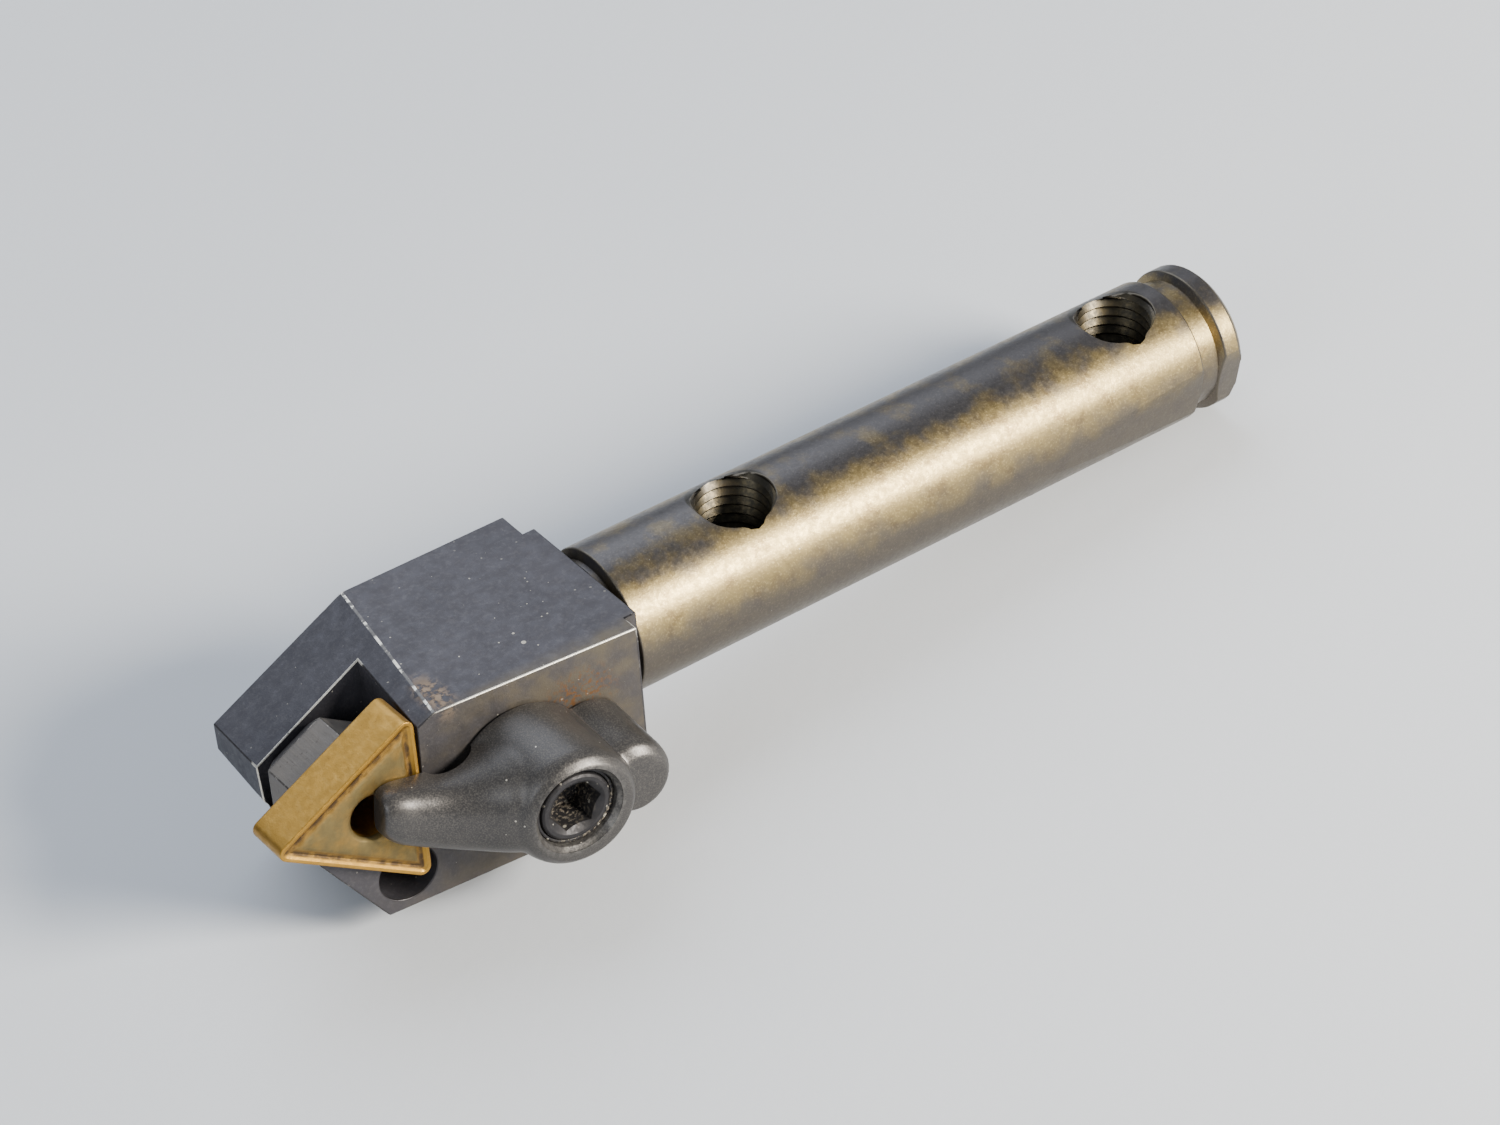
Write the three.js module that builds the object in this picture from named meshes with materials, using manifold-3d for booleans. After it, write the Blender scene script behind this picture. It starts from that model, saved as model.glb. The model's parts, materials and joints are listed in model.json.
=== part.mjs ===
// Round-shank indexable tool holder: a square head with a pocket for a triangular insert,
// a shim under the insert, and a forged top clamp drawn down by a socket screw.
//
// Millimetres. +X runs back along the shank, +Z is up, and the insert's rake face looks along -Y.
// The origin is the centre of the flat end of the shank.
import * as THREE from 'three';
import { mergeVertices } from 'three/addons/utils/BufferGeometryUtils.js';
import Module from 'manifold-3d';

const wasm = await Module();
wasm.setup();

// ---- driving dimensions -------------------------------------------------------------------

const shank = {
  radius: 7, length: 71, endChamfer: 0.6,
  rootRadius: 5.8, neckRadius: 6.05, neckEnd: 1.7, shoulder: 0.3,
  grooveStart: 65.9, grooveEnd: 68.7, grooveDepth: 0.8,
};
const collar = { width: 15.6, bottom: -7.6, thickness: 1.2 };
const head = {
  top: 6.1, bottom: -13, farSide: 11,
  rakeSide: -9.6,              // rake-side face where it meets the rear face
  rakeSlope: 0.08,             // how far that face leans in towards the nose, per millimetre
  noseX: -30.85, noseSkew: 2.2,
  bevelTopX: -18.15, bevelAngle: 28, bevelSkew: 8,
  undercutFootX: -25.2, undercutAngle: 33.2, undercutSkew: 3.8,
};
const seat = {                 // the insert's own frame: its centre, on its rake face
  x: -26.3, y: -8.34, z: -1.14,
  tiltX: -5, tiltZ: -1, turn: 3,
};
const insert = { inscribed: 9.525, thickness: 4.76, cornerRadius: 0.8, hole: 3.81,
  rim: 0.35, grooveWidth: 0.75, grooveDepth: 0.14 };
const pocket = { lean: 0.08 };  // the back wall leans away from the insert towards the floor
const shim = { flank: 4.3, corner: 4.8, foot: 0.7, thickness: 6.25, edge: 3.9, hole: 3.8 };
const shimScrew = { head: 5.4, headDepth: 1.5, thread: 3.5, length: 11, socket: 2, socketDepth: 1.2 };
const tappedHole = { major: 7.7, minor: 6.8, pitch: 1.058, turns: 7, depth: 9.5,
  mouth: 7.6, lean: 6, positions: [16.6, 60.3] };
const flat = { start: 46, depthAtEnd: 0.7, lean: 11.5 };
const relief = { x: -23.5, z: -9.3, radius: 2.7 };
const clampAxis = { x: -11.1, z: -2.7, turn: 8.5 };    // where the clamp screw enters the head
const boss = { x: -1.1, z: -0.1, foot: 6, crown: 5.1, height: 8.4, leanX: 0.19, leanZ: -0.04 };
const bore = { clearance: 6.7, counterbore: 7.7, counterboreDepth: 2.4 };
const arm = { reach: 15.2, archLift: 2.3, padEnd: 5.4 };
const ear = { x: 5.1, z: 0.9, foot: 3.5, crown: 3.1, height: 6.3, leanX: 0.3, leanZ: -0.25 };
const clampScrew = { head: 6.5, thread: 6, buried: 9.5, socket: 4, socketDepth: 3.4, recess: 0.5 };
const ring = { outer: 7.5, inner: 6.7, height: 0.9, sink: 0.8, gapAngle: 24 };

const seatGap = 0.1;           // between faces that rest on each other
const sideGap = 0.25;          // between the insert and the pocket's walls
const clampGap = 0.3;          // between the clamp and the head
const roundSegments = 72;

// ---- small tools --------------------------------------------------------------------------

const radians = THREE.MathUtils.degToRad;

function solid(geometry) {
  const bare = geometry.clone();
  bare.deleteAttribute('normal');
  bare.deleteAttribute('uv');
  const merged = mergeVertices(bare, 1e-4);
  return new wasm.Manifold(new wasm.Mesh({
    numProp: 3,
    vertProperties: new Float32Array(merged.attributes.position.array),
    triVerts: new Uint32Array(merged.index.array),
  }));
}

function geometryOf(manifold) {
  const mesh = manifold.getMesh();
  const geometry = new THREE.BufferGeometry();
  geometry.setAttribute('position', new THREE.BufferAttribute(mesh.vertProperties, 3));
  geometry.setIndex(new THREE.BufferAttribute(mesh.triVerts, 1));
  geometry.computeVertexNormals();
  return geometry;
}

function cut(body, ...tools) {
  return tools.reduce((left, tool) => left.subtract(solid(tool)), body);
}

function polygon(points) {
  return new THREE.Shape(points.map(([x, y]) => new THREE.Vector2(x, y)));
}

// An outline drawn in X and Z, extruded outwards along -Y from one height to another.
function plate(outline, from, to, curveSegments = 12) {
  return new THREE.ExtrudeGeometry(outline, { depth: to - from, bevelEnabled: false, curveSegments })
    .rotateX(Math.PI / 2).translate(0, -from, 0);
}

// A side view drawn in X and height above the face, extruded evenly either side of Z = 0.
function sideView(outline, width) {
  return new THREE.ExtrudeGeometry(outline, { depth: width, bevelEnabled: false, curveSegments: 12 })
    .rotateX(Math.PI).translate(0, 0, width / 2);
}

// A turned piece on an axis that runs outwards along -Y: [radius, height] pairs.
function turned(profile, segments = 48) {
  return new THREE.LatheGeometry(profile.map(([r, h]) => new THREE.Vector2(r, h)), segments)
    .rotateX(Math.PI);
}

// A triangle with its point towards -X, from the circle that its sides touch.
function triangle(inscribed, corner, cornerSteps = 6) {
  const inner = inscribed - 2 * corner;
  const outline = [];
  for (let side = 0; side < 3; side++) {
    const bisector = Math.PI + side * 2 * Math.PI / 3;
    for (let step = 0; step <= cornerSteps; step++) {
      const angle = bisector + (step / cornerSteps - 0.5) * 2 * Math.PI / 3;
      outline.push([inner * Math.cos(bisector) + corner * Math.cos(angle),
        inner * Math.sin(bisector) + corner * Math.sin(angle)]);
    }
  }
  return polygon(outline);
}

function hexagon(acrossFlats) {
  const corner = acrossFlats / Math.sqrt(3);
  return polygon([0, 1, 2, 3, 4, 5].map((i) =>
    [corner * Math.cos(i * Math.PI / 3), corner * Math.sin(i * Math.PI / 3)]));
}

// A large block whose one face passes through a point, and which fills the side the normal points to.
function halfSpace(point, normal, size = 140) {
  const turn = new THREE.Quaternion()
    .setFromUnitVectors(new THREE.Vector3(0, 0, 1), normal.clone().normalize());
  return new THREE.BoxGeometry(size, size, size).translate(0, 0, size / 2)
    .applyQuaternion(turn).translate(point.x, point.y, point.z);
}

function frame(x, y, z, tiltX, turnY, tiltZ) {
  return new THREE.Matrix4().compose(
    new THREE.Vector3(x, y, z),
    new THREE.Quaternion().setFromEuler(
      new THREE.Euler(radians(tiltX), radians(turnY), radians(tiltZ), 'ZXY')),
    new THREE.Vector3(1, 1, 1));
}

const rakeFace = (x) => head.rakeSide - head.rakeSlope * x;
const leanAngle = THREE.MathUtils.radToDeg(Math.atan(head.rakeSlope));

// The seat's frame holds the insert, shim and shim screw; the clamp's frame stands on the rake-side face.
const seatFrame = frame(seat.x, seat.y, seat.z, seat.tiltX, seat.turn, seat.tiltZ);
const clampFrame = frame(clampAxis.x, rakeFace(clampAxis.x), clampAxis.z, 0, clampAxis.turn, -leanAngle);

const insertFoot = -insert.thickness;
const shimTop = insertFoot - seatGap;
const shimFoot = shimTop - shim.thickness;
const pocketFloor = shimFoot - seatGap;

// ---- holder: head, collar and shank in one piece of steel -----------------------------------

function makeShank() {
  const { radius, length, endChamfer, rootRadius, neckRadius, neckEnd, shoulder } = shank;
  const floor = radius - shank.grooveDepth;
  const profile = [
    [0, -5], [rootRadius, -5], [rootRadius, 0.5], [neckRadius, 0.6], [neckRadius, neckEnd],
    [radius, neckEnd + shoulder], [radius, shank.grooveStart], [floor, shank.grooveStart + 0.4],
    [floor, shank.grooveEnd - 0.4], [radius, shank.grooveEnd],
    [radius, length - endChamfer], [radius - endChamfer, length], [0, length],
  ];
  return new THREE.LatheGeometry(profile.map(([r, x]) => new THREE.Vector2(r, x)), roundSegments)
    .rotateZ(-Math.PI / 2);
}

function makeHeadBlank() {
  const [length, height, depth] = [40, head.top - head.bottom, 40];
  return new THREE.BoxGeometry(length, depth, height)
    .translate(-length / 2, 0, head.bottom + height / 2);
}

function makeTappedHole(x) {
  const { major, minor, pitch, turns, depth, mouth } = tappedHole;
  const profile = [[0, -depth - minor / 4], [minor / 2, -depth]];
  for (let turn = turns; turn > 0; turn--) {
    profile.push([minor / 2, -turn * pitch - 0.1 * pitch], [major / 2, -turn * pitch + 0.4 * pitch],
      [minor / 2, -turn * pitch + 0.8 * pitch]);
  }
  const rise = (mouth - minor) / 2;
  profile.push([minor / 2, -0.2], [minor / 2 + rise, rise - 0.2], [minor / 2 + rise, 6], [0, 6]);
  return new THREE.LatheGeometry(profile.map(([r, h]) => new THREE.Vector2(r, h)), 32)
    .rotateX(Math.PI / 2)
    .translate(0, 0, shank.radius - 0.55)
    .rotateX(radians(tappedHole.lean))
    .translate(x, 0, 0);
}

// The pocket is a wedge with its corner under the insert's lower rear corner: one wall stands behind
// the insert and one below it, and it is open towards the bevel and the nose.
function makePocket() {
  const wall = insert.inscribed / 2 + sideGap;
  const reach = 45;
  const corner = new THREE.Vector2(wall, -wall * Math.sqrt(3));
  const outline = polygon([
    [corner.x, corner.y], [corner.x, corner.y + reach],
    [corner.x - reach * Math.cos(radians(30)), corner.y + reach],
    [corner.x - reach * Math.cos(radians(30)), corner.y + reach * Math.sin(radians(30))],
  ]);
  const lean = new THREE.Matrix4().makeShear(0, 0, pocket.lean, 0, 0, 0);
  return plate(outline, pocketFloor, 20).applyMatrix4(lean).applyMatrix4(seatFrame);
}

function makeHolder() {
  // A face that looks forwards and up or down by some angle, turned away towards the far side.
  const forwardNormal = (skew, pitch) => new THREE.Vector3(-Math.cos(radians(pitch)), 0,
    Math.sin(radians(pitch))).applyAxisAngle(new THREE.Vector3(0, 0, 1), -radians(skew));
  const rakeNormal = new THREE.Vector3(-head.rakeSlope, -1, 0);

  let body = cut(solid(makeHeadBlank()),
    halfSpace(new THREE.Vector3(0, head.rakeSide, 0), rakeNormal),
    halfSpace(new THREE.Vector3(0, head.farSide, 0), new THREE.Vector3(0, 1, 0)),
    halfSpace(new THREE.Vector3(head.bevelTopX, 0, head.top),
      forwardNormal(head.bevelSkew, 90 - head.bevelAngle)),
    halfSpace(new THREE.Vector3(head.noseX, 0, 0), forwardNormal(head.noseSkew, 0)),
    halfSpace(new THREE.Vector3(head.undercutFootX, 0, head.bottom),
      forwardNormal(head.undercutSkew, -head.undercutAngle)));
  const collarHeight = head.top - collar.bottom;
  const collarPlate = new THREE.BoxGeometry(collar.thickness + 1, collar.width, collarHeight)
    .translate((collar.thickness - 1) / 2, 0, collar.bottom + collarHeight / 2);
  body = body.add(solid(collarPlate)).add(solid(makeShank()));

  const reliefCut = turned([[0, pocketFloor], [relief.radius, pocketFloor], [relief.radius, 10], [0, 10]])
    .applyMatrix4(frame(relief.x, rakeFace(relief.x), relief.z, seat.tiltX, 0, seat.tiltZ));
  const drill = clampScrew.thread / 2 + 0.08;
  const clampHole = turned([[0, -clampScrew.buried - 3], [drill, -clampScrew.buried - 1.5],
    [drill, -0.6], [drill + 0.6, 0.01], [drill + 0.6, 4], [0, 4]]).applyMatrix4(clampFrame);
  const shimDrill = shimScrew.thread / 2 + 0.08;
  const shimScrewEnd = shimTop - shimScrew.length;
  const shimHole = turned([[0, shimScrewEnd - 1.4], [shimDrill, shimScrewEnd - 0.4],
    [shimDrill, pocketFloor + 2], [0, pocketFloor + 2]], 32).applyMatrix4(seatFrame);

  const flatAngle = Math.atan(flat.depthAtEnd / (shank.length - flat.start));
  const flatCut = new THREE.BoxGeometry(60, 20, 30).translate(30, -10, 0)
    .rotateZ(flatAngle).translate(flat.start, -shank.radius, 0).rotateX(radians(flat.lean));

  return cut(body, makePocket(), reliefCut, clampHole, shimHole, flatCut,
    ...tappedHole.positions.map(makeTappedHole));
}

// ---- insert, shim and shim screw, in the seat's frame --------------------------------------

function makeInsert() {
  const { inscribed, thickness, cornerRadius, hole, rim, grooveWidth, grooveDepth } = insert;
  const inset = (distance) => triangle(inscribed - 2 * distance, Math.max(cornerRadius - distance, 0.15));
  const ringGroove = inset(rim);
  ringGroove.holes.push(new THREE.Path(inset(rim + grooveWidth).getPoints(6)));
  return cut(solid(plate(triangle(inscribed, cornerRadius), insertFoot, 0)),
    plate(ringGroove, -grooveDepth, 1),
    plate(ringGroove, insertFoot - 1, insertFoot + grooveDepth),
    turned([[0, -thickness - 1], [hole / 2 + 0.9, -thickness - 1], [hole / 2 + 0.45, -thickness],
      [hole / 2, -thickness + 0.5], [hole / 2, -0.5], [hole / 2 + 0.45, 0], [hole / 2 + 0.9, 1], [0, 1]]));
}

// A three-sided block with its corners cut back, standing on a smaller foot.
function makeShim() {
  const block = new THREE.BoxGeometry(20, shim.thickness, 20).translate(0, -(shimTop + shimFoot) / 2, 0);
  const edge = -shimTop + shim.edge;
  const foot = shim.foot * (-shimFoot - edge);
  const sides = [0, 1, 2, 3, 4, 5].flatMap((side) => {
    const angle = side * Math.PI / 3;
    const reach = side % 2 ? shim.corner : shim.flank;
    const normal = new THREE.Vector3(Math.cos(angle), 0, Math.sin(angle));
    const upper = normal.clone().multiplyScalar(reach).setY(edge);
    const lower = normal.clone().multiplyScalar(reach - foot).setY(-shimFoot);
    const slope = normal.clone().multiplyScalar(-shimFoot - edge).setY(foot);
    return [halfSpace(upper, normal), halfSpace(lower, slope)];
  });
  const headRadius = shimScrew.head / 2 + 0.15;
  return cut(solid(block), ...sides,
    turned([[0, shimFoot - 1], [shim.hole / 2, shimFoot - 1],
      [shim.hole / 2, shimTop - shimScrew.headDepth - 0.5],
      [headRadius, shimTop - 0.8], [headRadius, shimTop + 1], [0, shimTop + 1]]));
}

function makeShimScrew() {
  const { head: headSize, headDepth, thread, length, socket, socketDepth } = shimScrew;
  const top = shimTop - 0.5;
  const body = turned([[0, shimTop - length], [thread / 2 - 0.3, shimTop - length],
    [thread / 2, shimTop - length + 0.3], [thread / 2, top - headDepth],
    [headSize / 2, top - 0.3], [headSize / 2, top], [0, top]], 32);
  return cut(solid(body), plate(hexagon(socket), top - socketDepth, top + 1));
}

// ---- clamp, clamp screw and ring, in the clamp's frame --------------------------------------

// A tapered stump that stands on the clamp's foot plane and leans as it rises.
function stump({ x, z, foot, crown, height, leanX, leanZ }) {
  const lean = new THREE.Matrix4().set(1, -leanX, 0, x, 0, 1, 0, 0, 0, -leanZ, 1, z, 0, 0, 0, 1);
  return turned([[0, clampGap], [foot - 0.3, clampGap], [foot, clampGap + 0.3],
    [crown + 0.35, height - 0.6], [crown - 0.4, height], [0, height]]).applyMatrix4(lean);
}

function makeClamp() {
  const plan = new THREE.Shape();
  plan.moveTo(2, -4.4);
  plan.lineTo(-4, -4.4);
  plan.splineThru([[-7.2, -4.3], [-9.7, -3.8], [-12.1, -3.1], [-14.2, -1.9], [-arm.reach, 0],
    [-14.4, 1.7], [-13, 2], [-11, 1.8], [-9, 2.1], [-7.5, 2.6], [-6, 3.4]]
    .map(([x, z]) => new THREE.Vector2(x, z)));
  plan.lineTo(2, 4.8);
  const profile = new THREE.Shape();
  profile.moveTo(2, clampGap);
  profile.lineTo(-6.4, clampGap);
  profile.lineTo(-6.8, arm.archLift);
  profile.lineTo(-9.6, arm.archLift);
  profile.lineTo(-9.9, clampGap);
  profile.lineTo(-arm.reach - 1, clampGap);
  profile.lineTo(-arm.reach - 1, 2.8);
  profile.quadraticCurveTo(-arm.reach + 0.6, 3.3, -arm.reach + 2.5, 3.5);
  profile.bezierCurveTo(-10.2, 3.9, -8, 4.3, -6, 5.2);
  profile.quadraticCurveTo(-4, 6.2, -2.5, boss.height - 0.9);
  profile.lineTo(2, boss.height - 0.9);
  const armBody = solid(plate(plan, 0, 12, 5)).intersect(solid(sideView(profile, 20)));

  const counterbore = turned([[0, -1], [bore.clearance / 2, -1],
    [bore.clearance / 2, boss.height - bore.counterboreDepth],
    [bore.counterbore / 2, boss.height - bore.counterboreDepth],
    [bore.counterbore / 2, boss.height + 1], [0, boss.height + 1]]);
  // The nose's underside lies parallel to the insert's rake face, just above it.
  const padCut = new THREE.BoxGeometry(40, 20, 60).translate(arm.padEnd - 20, 10 - clampGap, 0)
    .applyMatrix4(clampFrame.clone().invert().multiply(seatFrame));
  const forging = solid(stump(boss)).add(solid(stump(ear))).add(armBody);
  return cut(forging, counterbore, padCut);
}

function makeClampScrew() {
  const { head: headSize, thread, buried, socket, socketDepth, recess } = clampScrew;
  const top = boss.height - recess;
  const body = turned([[0, -buried], [thread / 2 - 0.5, -buried], [thread / 2, -buried + 0.5],
    [thread / 2, top - 3.5], [headSize / 2, top - 3.2], [headSize / 2, top - 0.2],
    [headSize / 2 - 0.2, top], [0, top]]);
  return cut(solid(body), plate(hexagon(socket), top - socketDepth, top + 1),
    turned([[0, top - 0.3], [socket / 2 + 0.1, top - 0.3], [socket / 2 + 0.5, top + 0.1], [0, top + 0.1]]));
}

function makeRing() {
  const top = boss.height - ring.sink;
  const outline = new THREE.Shape();
  const half = radians(ring.gapAngle / 2);
  outline.absarc(0, 0, ring.outer / 2, half, 2 * Math.PI - half, false);
  outline.absarc(0, 0, ring.inner / 2, 2 * Math.PI - half, half, true);
  return plate(outline, top - ring.height, top, 40);
}

// ---- assembly -----------------------------------------------------------------------------

const group = new THREE.Group();
const headGroup = new THREE.Group();
const seatGroup = new THREE.Group();
const clampGroup = new THREE.Group();
headGroup.position.x = -shank.length;
seatGroup.applyMatrix4(seatFrame);
clampGroup.applyMatrix4(clampFrame);
headGroup.add(seatGroup, clampGroup);
group.add(headGroup);

function place(parent, name, geometry, color, roughness, metalness) {
  const mesh = new THREE.Mesh(geometry, new THREE.MeshStandardMaterial({ color, roughness, metalness }));
  mesh.name = name;
  parent.add(mesh);
}

place(headGroup, 'tool_holder', geometryOf(makeHolder()), 0x3b3c46, 0.5, 0.85);
place(seatGroup, 'insert', geometryOf(makeInsert()), 0xc59a34, 0.4, 0.8);
place(seatGroup, 'shim', geometryOf(makeShim()), 0x6a5f52, 0.6, 0.6);
place(seatGroup, 'shim_screw', geometryOf(makeShimScrew()), 0x2c2c30, 0.5, 0.8);
place(clampGroup, 'clamp', geometryOf(makeClamp()), 0x54545a, 0.45, 0.85);
place(clampGroup, 'clamp_screw', geometryOf(makeClampScrew()), 0x3a3a40, 0.4, 0.85);
place(clampGroup, 'retaining_ring', makeRing(), 0x24242a, 0.4, 0.85);

export default group;
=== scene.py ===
import json
import math

import bmesh
import bpy
from mathutils import Matrix, Vector


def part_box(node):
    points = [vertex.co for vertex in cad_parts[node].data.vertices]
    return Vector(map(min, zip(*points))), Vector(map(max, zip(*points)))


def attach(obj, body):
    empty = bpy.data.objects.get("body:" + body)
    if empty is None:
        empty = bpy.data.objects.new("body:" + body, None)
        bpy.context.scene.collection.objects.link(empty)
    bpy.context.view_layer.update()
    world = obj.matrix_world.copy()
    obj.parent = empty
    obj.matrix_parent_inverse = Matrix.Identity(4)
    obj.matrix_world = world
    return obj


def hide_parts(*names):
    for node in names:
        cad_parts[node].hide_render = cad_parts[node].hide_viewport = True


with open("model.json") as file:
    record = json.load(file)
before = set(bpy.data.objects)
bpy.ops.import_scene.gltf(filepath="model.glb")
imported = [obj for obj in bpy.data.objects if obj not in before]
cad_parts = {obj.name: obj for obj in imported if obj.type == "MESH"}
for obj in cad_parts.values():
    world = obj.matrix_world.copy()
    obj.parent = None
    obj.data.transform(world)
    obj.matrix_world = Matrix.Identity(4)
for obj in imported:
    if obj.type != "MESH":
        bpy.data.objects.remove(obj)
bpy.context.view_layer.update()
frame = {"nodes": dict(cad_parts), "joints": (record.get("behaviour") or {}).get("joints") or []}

MM = 0.001
radians = math.radians


# ---- places, in the part's frame ------------------------------------------------------------

SHANK_LENGTH = 71.0                    # the head's rear face is this far in front of the shank's end
SEAT_AT = (-97.3, -8.34, -1.14)        # centre of the insert's rake face
SEAT_TURNS = (-5.0, 3.0, -1.0)         # about X, Y and Z
CLAMP_TURN = 8.5                       # how far the clamp's nose points up from the shank's line
SHANK_RADIUS = 7.0
INSERT_RADIUS = 9.525 / 2              # from the insert's axis to each of its three sides
INSERT_THICKNESS = 4.76


def place_matrix(at, turns):
    """A frame at a point in millimetres, turned about Y, then X, then Z."""
    x, y, z = (radians(turn) for turn in turns)
    turn = Matrix.Rotation(z, 4, "Z") @ Matrix.Rotation(x, 4, "X") @ Matrix.Rotation(y, 4, "Y")
    return Matrix.Translation(Vector(at) * MM) @ turn


def joint(name):
    return next(j for j in frame["joints"] if j["name"] == name)


swing = joint("clamp_swing")
swing_axis = Vector(swing["axis"])     # it points outwards, away from the head
rake_lean = math.degrees(math.atan2(swing_axis.x, -swing_axis.y))
SEAT = place_matrix(SEAT_AT, SEAT_TURNS)
CLAMP = place_matrix(Vector(swing["pos_m"]) / MM, (0, CLAMP_TURN, rake_lean))


# ---- mesh tools: points are in millimetres, in a piece's own frame ---------------------------

MERGE_WITHIN = 1e-7                    # metres between doubled points of a new mesh
CAD_MERGE_WITHIN = 2e-6                # and of a CAD node's mesh
FLAT_BEND = 1                          # degrees: less is between the facets of one flat face
WORN_BEND = 25                         # an edge that bends more than this is worn round
SMOOTH_BEND = 30                       # an edge that bends less than this is shaded smooth
WIDE_FACE_WEIGHT = 100                 # lets the wide faces set the shading beside a worn edge


def new_piece(name, points, faces, place):
    mesh = bpy.data.meshes.new(name)
    mesh.from_pydata([Vector(p) * MM for p in points], [], faces)
    piece = bpy.data.objects.new(name, mesh)
    bpy.context.scene.collection.objects.link(piece)
    piece.matrix_world = place
    clean(piece)
    return piece


def clean(piece):
    """Merges doubled points and turns every face outwards."""
    mesh = bmesh.new()
    mesh.from_mesh(piece.data)
    bmesh.ops.remove_doubles(mesh, verts=mesh.verts, dist=MERGE_WITHIN)
    bmesh.ops.recalc_face_normals(mesh, faces=mesh.faces)
    mesh.to_mesh(piece.data)
    mesh.free()


def apply_modifiers(piece):
    bpy.context.view_layer.update()
    graph = bpy.context.evaluated_depsgraph_get()
    mesh = bpy.data.meshes.new_from_object(piece.evaluated_get(graph))
    piece.modifiers.clear()
    piece.data = mesh


def place_in(piece, place):
    """Gives a piece made in the part's frame its own frame, without moving it."""
    piece.data.transform(place.inverted())
    piece.matrix_world = place


def turn_points(shape, place):
    """A shape's points and faces, with the points carried into another frame."""
    points, faces = shape
    return [tuple((place @ (Vector(p) * MM)) / MM) for p in points], faces


def shade(piece, angle):
    """Smooth shading, apart from edges that bend more than an angle in degrees."""
    piece.data.shade_smooth()
    piece.data.set_sharp_from_angle(angle=radians(angle))


def loft(rings, joined=False):
    """Points and faces through rings of equal count, capped at both ends or joined round."""
    count = len(rings[0])
    points = [point for ring in rings for point in ring]
    faces = []
    for i in range(len(rings) if joined else len(rings) - 1):
        a, b = i * count, (i + 1) % len(rings) * count
        for j in range(count):
            k = (j + 1) % count
            faces.append((a + j, a + k, b + k, b + j))
    if not joined:
        faces.append(tuple(range(count)))
        faces.append(tuple(range(len(points) - count, len(points))))
    return points, faces


def turned(profile, segments, lean=(0, 0), centre=(0, 0)):
    """A turned shape on an axis that runs outwards along -Y, from (radius, height) pairs.
    centre is where the axis starts in X and Z, and lean is how far it shifts per millimetre."""
    turns = [2 * math.pi * i / segments for i in range(segments)]
    rings = []
    for radius, height in profile:
        x, z = centre[0] + lean[0] * height, centre[1] + lean[1] * height
        rings.append([(x + radius * math.cos(t), -height, z + radius * math.sin(t)) for t in turns])
    return loft(rings)


def block(low, high):
    """Points and faces of a box between its lowest and highest corners."""
    corners = [(x, y, z) for x in (low[0], high[0]) for y in (low[1], high[1])
               for z in (low[2], high[2])]
    return corners, [(0, 1, 3, 2), (4, 6, 7, 5), (0, 4, 5, 1), (2, 3, 7, 6), (0, 2, 6, 4), (1, 5, 7, 3)]


def smooth_stations(stations, steps):
    """Stations with more of them in between, on a Catmull-Rom curve."""
    found = []
    for i in range(len(stations) - 1):
        a, b, c, d = (stations[min(max(i + k, 0), len(stations) - 1)] for k in (-1, 0, 1, 2))
        for step in range(steps):
            t = step / steps
            found.append(tuple(
                0.5 * (2 * q + (r - p) * t + (2 * p - 5 * q + 4 * r - s) * t * t
                       + (3 * q - p - 3 * r + s) * t ** 3)
                for p, q, r, s in zip(a, b, c, d)))
    return found + [stations[-1]]


def carve(piece, shapes):
    """Cuts shapes, given in the piece's own frame, out of it one after another."""
    for number, (points, faces) in enumerate(shapes):
        tool = new_piece(f"cutter_{number}", points, faces, piece.matrix_world.copy())
        cutter = piece.modifiers.new("cut", "BOOLEAN")
        cutter.operation = "DIFFERENCE"
        cutter.solver = "EXACT"
        cutter.object = tool
        apply_modifiers(piece)
        bpy.data.objects.remove(tool)


def mark_worn_edges(mesh, keep_sharp):
    """Weights the convex edges for the bevel, apart from those that keep_sharp picks by their middle."""
    weight = mesh.edges.layers.float.new("bevel_weight_edge")
    for edge in mesh.edges:
        middle = (edge.verts[0].co + edge.verts[1].co) / 2 / MM
        bend = edge.calc_face_angle(0) if len(edge.link_faces) == 2 else 0
        worn = bend > radians(WORN_BEND) and edge.is_convex and not keep_sharp(middle)
        edge[weight] = 1 if worn else 0
        edge.smooth = worn or bend < radians(SMOOTH_BEND)


def wear_edges(piece, width):
    """Rounds the weighted edges, in the piece's second material, and keeps flat faces shaded flat."""
    bevel = piece.modifiers.new("worn edges", "BEVEL")
    bevel.limit_method = "WEIGHT"
    bevel.width = width * MM
    bevel.segments = 2
    bevel.material = 1
    bevel.use_clamp_overlap = False
    flatten = piece.modifiers.new("flat faces stay flat", "WEIGHTED_NORMAL")
    flatten.keep_sharp = True
    flatten.weight = WIDE_FACE_WEIGHT
    apply_modifiers(piece)


def refined_copy(node, name, width, looks, keep_sharp=lambda middle: False):
    """A copy of a CAD node with its flat faces merged and its convex edges worn round."""
    source = frame["nodes"][node]
    piece = bpy.data.objects.new(name, source.data.copy())
    bpy.context.scene.collection.objects.link(piece)
    piece.data.materials.clear()
    for look in looks:
        piece.data.materials.append(look)
    mesh = bmesh.new()
    mesh.from_mesh(piece.data)
    bmesh.ops.remove_doubles(mesh, verts=mesh.verts, dist=CAD_MERGE_WITHIN)
    bmesh.ops.dissolve_limit(mesh, angle_limit=radians(FLAT_BEND), verts=mesh.verts, edges=mesh.edges)
    mark_worn_edges(mesh, keep_sharp)
    for face in mesh.faces:
        face.material_index = 0
        face.smooth = True
    mesh.to_mesh(piece.data)
    mesh.free()
    wear_edges(piece, width)
    return piece


# ---- material tools -------------------------------------------------------------------------

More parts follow.
